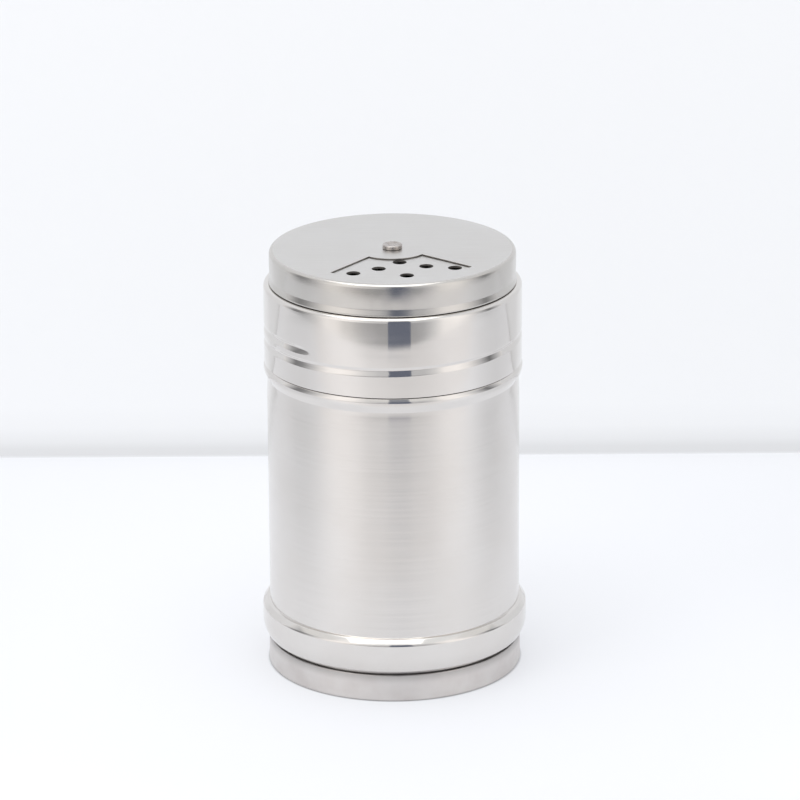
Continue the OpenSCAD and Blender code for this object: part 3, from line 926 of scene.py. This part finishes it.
def ramp_of(tree, value, stops, colour_of):
    """A ramp with a stop at each (place, amount); colour_of(amount) is the stop's colour."""
    ramp = tree.nodes.new("ShaderNodeValToRGB")
    for place, amount in stops[1:-1]:
        ramp.color_ramp.elements.new(place)
    for stop, (place, amount) in zip(ramp.color_ramp.elements, stops):
        stop.position = place
        stop.color = (*colour_of(amount), 1)
    tree.links.new(value, ramp.inputs[0])
    return ramp.outputs[0]


def turned_stops(stops):
    """Stops given in degrees from the front, as shares of a turn."""
    return [(degrees / 360 + 0.5, amount) for degrees, amount in stops]


def grey(amount):
    """A grey of one brightness."""
    return amount, amount, amount


# Painted shade: how bright the wall is at a level in millimetres, dim where its paper meets the table.
WALL_FOOT_PAINTED_SHADE = [(0.0, 0.92), (0.6, 0.82), (2.3, 0.83), (4.2, 0.90), (8.0, 0.97), (14.0, 1.0)]
WALL_FOOT_TINT = (1.0, 1.015, 1.035)
# Painted shade towards the wall's ends:
WALL_ENDS = 0.07       # how much darker the wall is towards its ends
WALL_END_SPAN = (0.105, 0.15)   # from where to where it gets so, to either side
# Painted light: how bright the table is in each direction, in degrees from the front, as the boards would
# light it.
TABLE_PAINTED_LIGHT = [
    (-180, 0.98), (-130, 0.97), (-100, 0.88), (-80, 0.86), (-70, 0.89), (-60, 0.98), (-50, 1.06),
    (-40, 1.10), (-30, 1.07), (-20, 0.97), (-5, 0.93), (10, 0.90), (20, 0.92), (30, 0.95), (40, 1.00),
    (50, 1.05), (60, 1.06), (70, 1.03), (80, 0.95), (90, 0.89), (100, 0.86), (110, 0.90), (130, 0.97),
    (180, 0.98)]
TABLE_DIM, TABLE_SPAN = 0.8, 0.3   # the darkest brightness that the ramp can give, and its range
TABLE_FAR = (0.08, 0.17)        # from where to where that light sets in, measured from the axis
# The painted light's warm tint, and from where to where it sets in towards the front:
TABLE_PAINTED_TINT = (1.0, 0.975, 0.95)
TABLE_FRONT = (0.07, 0.14)      # from where to where the tint sets in, towards the front
# The painted contact shadow round the foot:
CONTACT_IN, CONTACT_OUT = 0.35, 0.45   # how far the dark edge reaches in under the foot and out from it
CONTACT_LIGHT = 0.4    # how bright the table still is under the foot


def wall_shade(tree):
    """Painted shade: the dim line where the wall's paper meets the table, and the dimmer ends."""
    x, _, z = place_in(tree)
    top = WALL_FOOT_PAINTED_SHADE[-1][0]
    foot = ramp_of(tree, calc(tree, "MULTIPLY", z, 1 / (top * MM)),
                   [(level / top, brightness) for level, brightness in WALL_FOOT_PAINTED_SHADE],
                   lambda b: [1 - (1 - b) * t for t in WALL_FOOT_TINT])
    to_end = smooth_step(tree, calc(tree, "ABSOLUTE", x), *WALL_END_SPAN)
    return multiply(tree, foot, calc(tree, "MULTIPLY_ADD", to_end, -WALL_ENDS, 1.0))


def table_shade(tree):
    """Painted contact shadow right round the foot, the table even elsewhere near the shaker, and painted
    light that is uneven and a little warm farther to the front, where the boards would light it."""
    x, y, _ = place_in(tree)
    away = calc(tree, "SQRT", calc(tree, "ADD", calc(tree, "MULTIPLY", x, x), calc(tree, "MULTIPLY", y, y)))
    # painted light from the boards, by direction
    light = ramp_of(tree, direction_of(tree, x, y), turned_stops(TABLE_PAINTED_LIGHT),
                    lambda b: grey((b - TABLE_DIM) / TABLE_SPAN))
    outer = calc(tree, "MULTIPLY_ADD", light, TABLE_SPAN, TABLE_DIM)
    mixed = between(tree, smooth_step(tree, away, *TABLE_FAR), 1.0, outer)
    # painted contact shadow round the foot
    painted_contact_shadow = wire(tree, "ShaderNodeMapRange", {
        "Value": away, "From Min": (FOOT_R - CONTACT_IN) * MM, "From Max": (FOOT_R + CONTACT_OUT) * MM,
        "To Min": CONTACT_LIGHT})
    in_front = smooth_step(tree, calc(tree, "MULTIPLY", y, -1.0), *TABLE_FRONT)
    tint = mix_colours(tree, in_front, (1, 1, 1, 1), (*TABLE_PAINTED_TINT, 1))
    return multiply(tree, tint, calc(tree, "MULTIPLY", mixed, painted_contact_shadow))


def flat_object(name, corners, material):
    """A single flat face that belongs to the studio and not to the shaker."""
    mesh = bpy.data.meshes.new(name)
    mesh.from_pydata(corners, [], [range(len(corners))])
    mesh.materials.append(material)
    add_object(name, mesh)


REACH = 4.0            # how far the floor and the wall go on past the picture
WALL_Y = 0.139
# How much of the wall's and the floor's colour glows: painted light that keeps shadows soft.
WALL_GLOW = 0.45
FLOOR_GLOW = 0.5
flat_object("floor", [(-REACH, -REACH, 0), (REACH, -REACH, 0), (REACH, REACH, 0), (-REACH, REACH, 0)],
            pale("floor_white", (0.872, 0.884, 0.918), FLOOR_GLOW, table_shade))


def one_sided(material):
    """Makes a board clear from behind, so that it never hides the shaker from a camera there."""
    tree = material.node_tree
    shader, output = tree.nodes["Principled BSDF"], tree.nodes["Material Output"]
    mixed = tree.nodes.new("ShaderNodeMixShader")
    tree.links.new(wire(tree, "ShaderNodeNewGeometry", out="Backfacing"), mixed.inputs[0])
    tree.links.new(shader.outputs[0], mixed.inputs[1])
    tree.links.new(wire(tree, "ShaderNodeBsdfTransparent"), mixed.inputs[2])
    tree.links.new(mixed.outputs[0], output.inputs["Surface"])
    return material


flat_object("wall", [(-REACH, WALL_Y, 0), (REACH, WALL_Y, 0), (REACH, WALL_Y, REACH),
                     (-REACH, WALL_Y, REACH)],
            one_sided(pale("wall_white", (0.885, 0.895, 0.915), WALL_GLOW, wall_shade)))
print("wall", WALL_Y, "m behind the shaker's axis")

# %% [markdown]
# Reflections are shaped by a screen that stands round the front of the table, like a photographer's paper
# cylinder. It is brighter where a light board would stand and darker between the boards, so its brightness
# is a ramp over the direction round the shaker. Directions are degrees from the front, with right positive.
# The camera would show in the steel too, so a dark block stands for it, just inside the screen.

# %% The screen round the table
SCREEN_END = 107       # where the screen meets the wall, in degrees
SCREEN_STEP = 3        # the degrees that one of its faces takes
SCREEN_TOP = 0.42
SCREEN_WIDE = 0.36     # from the shaker's axis to the screen at the sides
SCREEN_DEEP = 0.301    # and at the front
SCREEN_SHIFT = 0.010   # how far the whole screen stands to the right
SCREEN_LIGHT = 1.3     # the brightest board; the ramp's brightness is a share of it
SCREEN_RAMP = [
    (-107, 0.72), (-100, 0.50), (-92, 0.20), (-84, 0.26), (-72, 0.56), (-58, 0.92), (-47, 1.00),
    (-36, 0.93), (-24, 0.70), (-12, 0.56), (10, 0.52), (26, 0.52), (35, 0.66), (44, 0.92), (56, 0.98),
    (66, 0.85), (80, 0.48), (90, 0.16), (99, 0.46), (107, 0.72)]
SCREEN_FOOT_SPAN = (0.03, 0.075)   # the levels between which the screen's lower edge ends
SCREEN_FOOT = [        # how much of the brightness is left along that edge
    (-107, 1.0), (-60, 0.95), (-50, 0.86), (-42, 0.70), (-30, 0.61), (-20, 0.61), (-8, 0.63), (13, 0.66),
    (20, 0.69), (28, 0.82), (35, 0.94), (50, 0.97), (60, 1.0), (107, 1.0)]
SCREEN_FILL_SPAN = (0.21, 0.28)    # the levels between which its upper edge begins
SCREEN_FILL = 0.70     # the least brightness along that edge
WARM, COOL = (1.0, 0.977, 0.965), (0.985, 1.0, 1.035)
WARM_FROM, WARM_SPAN = 0.45, 0.5   # the brightness where warmth sets in, and how soon it is complete
BLOCK_START, BLOCK_END = -6, 13
BLOCK_TOP = 0.40
BLOCK_INSET = 0.016    # how far in front of the screen it stands, as a share of the screen's distance
BLOCK_SPAN = (0.20, 0.30)          # the levels between which it gets lighter
DARK_BLUE = (0.17, 0.19, 0.25)
DARK_TOP = (0.32, 0.34, 0.38)


def only_reflected(made):
    """Hides a studio object from everything but reflections."""
    made.visible_camera = made.visible_diffuse = made.visible_shadow = False
    made.visible_transmission = made.visible_volume_scatter = False


def glowing(name, colour_in, strength=1.0):
    """A material that only glows, in the colour that colour_in(tree) gives."""
    material, tree, shader = new_material(name)
    tree.nodes.remove(shader)
    light = wire(tree, "ShaderNodeEmission", {"Color": colour_in(tree), "Strength": strength})
    tree.links.new(light, tree.nodes["Material Output"].inputs["Surface"])
    return material


def board_colour(brightness):
    """Bright boards are a little warm, and the gaps between them a little cool."""
    share = min(1.0, max(0.0, (brightness - WARM_FROM) / WARM_SPAN))
    return [brightness * (w * share + c * (1 - share)) for w, c in zip(WARM, COOL)]


def screen_colour(tree):
    """The boards, filled in towards the screen's upper edge and dimmed towards its lower one."""
    x, y, z = place_in(tree)
    towards = direction_of(tree, x, y)
    boards = ramp_of(tree, towards, turned_stops(SCREEN_RAMP), board_colour)
    foot = ramp_of(tree, towards, turned_stops(SCREEN_FOOT), grey)
    fill = calc(tree, "MULTIPLY", smooth_step(tree, z, *SCREEN_FILL_SPAN), SCREEN_FILL)
    filled = mix_colours(tree, 1.0, boards, fill, "LIGHTEN")
    kept = between(tree, smooth_step(tree, z, *SCREEN_FOOT_SPAN), foot, 1.0)
    return multiply(tree, filled, kept)


def block_colour(tree):
    """Dark, and a little lighter at the block's top."""
    upwards = smooth_step(tree, place_in(tree)[2], *BLOCK_SPAN)
    return mix_colours(tree, upwards, (*DARK_BLUE, 1), (*DARK_TOP, 1))


def screen_at(direction):
    """Where the oval screen stands in a direction."""
    angle = math.radians(direction)
    distance = 1 / math.hypot(math.sin(angle) / SCREEN_WIDE, math.cos(angle) / SCREEN_DEEP)
    return SCREEN_SHIFT + distance * math.sin(angle), -distance * math.cos(angle)


def screen(name, start, end, top, material, inset=0.0):
    """A strip that stands on the table along the screen, from one direction to another."""
    steps = math.ceil((end - start) / SCREEN_STEP)
    points = []
    for k in range(steps + 1):
        x, y = (v * (1 - inset) for v in screen_at(start + (end - start) * k / steps))
        points += [(x, y, 0), (x, y, top)]
    mesh = bpy.data.meshes.new(name)
    mesh.from_pydata(points, [], [(2 * k, 2 * k + 2, 2 * k + 3, 2 * k + 1) for k in range(steps)])
    mesh.materials.append(material)
    only_reflected(add_object(name, mesh))


screen("screen", -SCREEN_END, SCREEN_END, SCREEN_TOP, glowing("screen_glow", screen_colour, SCREEN_LIGHT))
screen("camera_block", BLOCK_START, BLOCK_END, BLOCK_TOP, glowing("block_glow", block_colour), BLOCK_INSET)
print("screen from", -SCREEN_END, "to", SCREEN_END, "degrees, with", len(SCREEN_RAMP), "stops")

# %% [markdown]
# ## Light
# One large soft light hangs overhead, and a smaller one at the front left puts the faint shadow on the
# right. The world fills in the rest, as the white walls of a studio do.

# %% Lights and world
def soft_light(name, place, size, radiance, colour, aim=None):
    """A rectangular area light that faces down or towards a point. Its power follows from its radiance."""
    data = bpy.data.lights.new(name, "AREA")
    data.shape = "RECTANGLE"
    data.size, data.size_y = size
    data.color = colour
    data.energy = radiance * math.pi * size[0] * size[1]
    light = add_object(name, data)
    light.location = place
    if aim:
        light.rotation_mode = "QUATERNION"
        light.rotation_quaternion = (Vector(place) - Vector(aim)).to_track_quat("Z", "Y")
    print(f"{name}: {data.energy:.2f} W")


soft_light("top_light", place=(-0.0925, -0.125, 0.79), size=(0.72, 0.65), radiance=1.4,
           colour=(1.0, 0.985, 0.965))
soft_light("key_light", place=(-0.62, -0.52, 0.62), size=(0.50, 0.50), radiance=1.6,
           colour=(1.0, 0.985, 0.97), aim=(0, 0, 0.05))

world = bpy.data.worlds.new("studio")
world.use_nodes = True
world.node_tree.nodes["Background"].inputs["Color"].default_value = (0.93, 0.945, 0.96, 1)
world.node_tree.nodes["Background"].inputs["Strength"].default_value = 1.05
bpy.context.scene.world = world
bpy.context.scene.view_settings.view_transform = "Standard"

# %% [markdown]
# ## The camera
# A long lens a little over a metre away looks down at 19 degrees, as for a catalogue picture. The camera's
# matrix is built from the way it looks, so that its slight roll can be given as it is.

# %% Place the camera
CAMERA_AT = Vector((0, -1.0821, 0.4335))
PITCH, YAW, TILT = math.radians(18.907), math.radians(0.0817), math.radians(-0.327)
look = Vector((math.sin(YAW) * math.cos(PITCH), math.cos(YAW) * math.cos(PITCH), -math.sin(PITCH)))
level_right = Vector((math.cos(YAW), -math.sin(YAW), 0))
level_up = level_right.cross(look)
right = math.cos(TILT) * level_right + math.sin(TILT) * level_up
up = math.cos(TILT) * level_up - math.sin(TILT) * level_right

lens = bpy.data.cameras.new("camera")
lens.lens, lens.sensor_width = 223.54, 36
lens.clip_start, lens.clip_end = 0.05, 20
camera = add_object("camera", lens)
camera.matrix_world = Matrix.Translation(CAMERA_AT) @ Matrix((right, up, -look)).transposed().to_4x4()
bpy.context.scene.camera = camera
print("camera:", tuple(round(v, 4) for v in camera.location), "lens", lens.lens)
